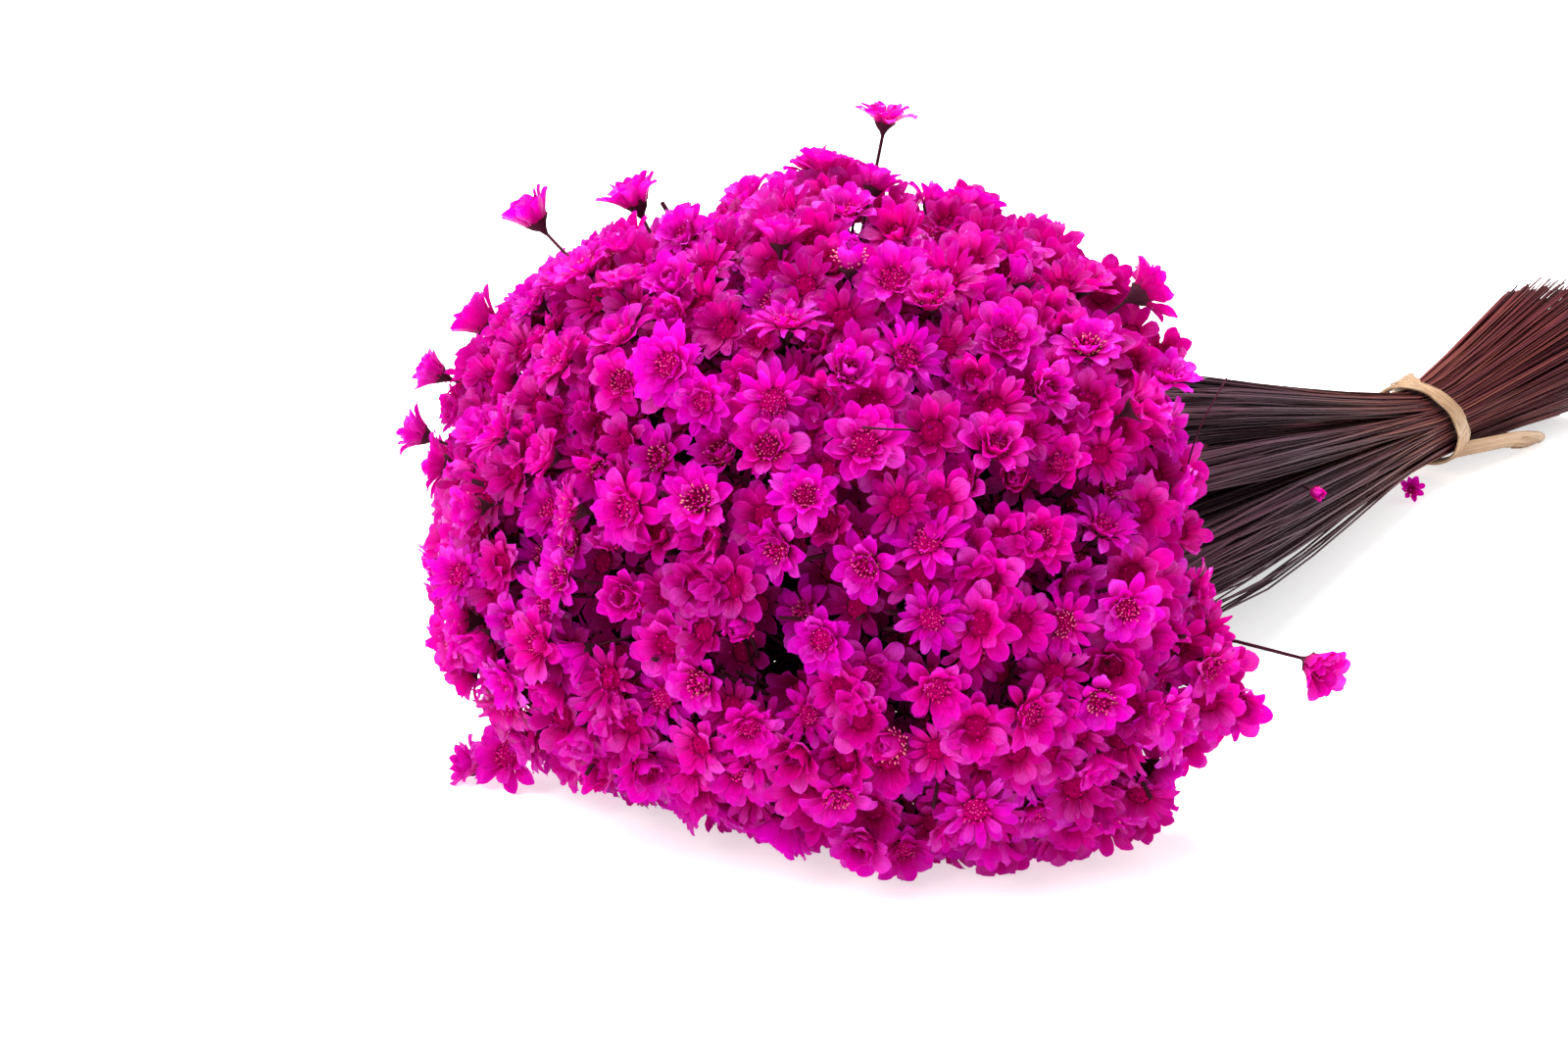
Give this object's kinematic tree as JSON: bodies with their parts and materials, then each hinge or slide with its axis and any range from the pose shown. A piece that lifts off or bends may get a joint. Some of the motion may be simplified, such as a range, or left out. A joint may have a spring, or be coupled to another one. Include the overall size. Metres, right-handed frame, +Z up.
{
  "type": "dried flower bunch",
  "caption": "Lying, tied bunch of dried dyed star flowers: a domed mass of small many-petalled heads on long thin stems that fan out again behind a band.",
  "frame": {"origin": "under the middle of the whole bunch, on the surface that it lies on", "axes": "+Y runs along the stems from the flower heads to the cut ends, +Z is up"},
  "size_m": [0.161, 0.4168, 0.1201],
  "materials": {
    "petals": "dyed dry petals, papery with a soft silky sheen",
    "stems": "dry, matt, finely grooved, dyed dark purple-brown",
    "tie": "flat natural fibre band, matt with a faint gloss along the fibres"
  },
  "bodies": {
    "root": {"heads_01": "petals", "stems_01": "stems", "heads_02": "petals", "stems_02": "stems", "heads_03": "petals", "stems_03": "stems", "heads_04": "petals", "stems_04": "stems", "heads_05": "petals", "stems_05": "stems", "heads_06": "petals", "stems_06": "stems", "heads_07": "petals", "stems_07": "stems", "heads_08": "petals", "stems_08": "stems", "heads_09": "petals", "stems_09": "stems", "heads_10": "petals", "stems_10": "stems", "heads_11": "petals", "stems_11": "stems", "heads_12": "petals", "stems_12": "stems", "heads_13": "petals", "stems_13": "stems", "heads_14": "petals", "stems_14": "stems", "heads_15": "petals", "stems_15": "stems", "heads_16": "petals", "stems_16": "stems", "heads_17": "petals", "stems_17": "stems", "heads_18": "petals", "stems_18": "stems", "heads_19": "petals", "stems_19": "stems", "tie_band": "tie", "low_bud": "petals"}
  },
  "joints": []
}
